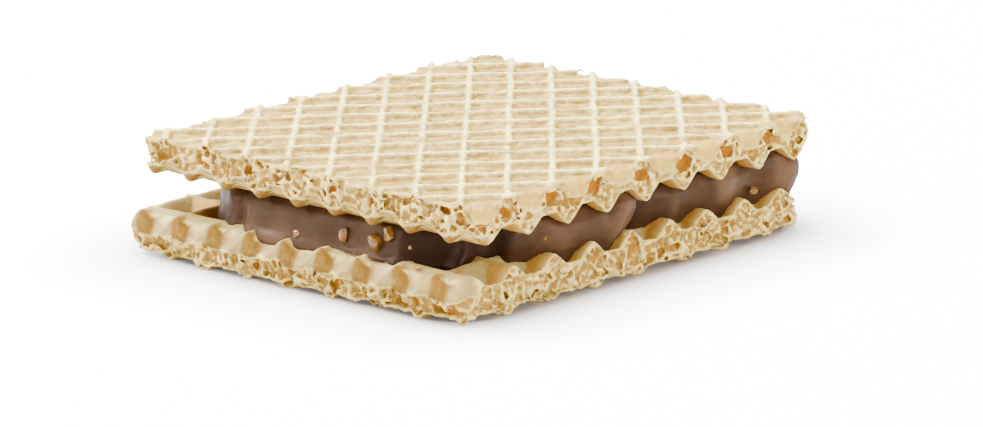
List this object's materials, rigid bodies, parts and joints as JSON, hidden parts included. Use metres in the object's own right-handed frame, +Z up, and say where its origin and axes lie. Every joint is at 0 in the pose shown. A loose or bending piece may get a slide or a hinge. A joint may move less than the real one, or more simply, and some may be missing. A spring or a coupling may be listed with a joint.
{
  "type": "filled wafer biscuit",
  "caption": "Square wafer biscuit: two crisp grid-baked wafers with a thick chocolate filling that holds chopped nut pieces.",
  "frame": {"origin": "centre of the bounding box in plan, at the height of the lower wafer's underside", "axes": "+Z up, through the biscuit's thickness; X and Y along the wafers' sides; the corner that faces the viewer is at -X and -Y"},
  "size_m": [0.0561, 0.0559, 0.0142],
  "materials": {
    "baked_wafer": "matte",
    "chocolate_filling": "satin"
  },
  "bodies": {
    "root": {"wafer_bottom": "baked_wafer", "filling": "chocolate_filling", "wafer_top": "baked_wafer"}
  },
  "joints": []
}
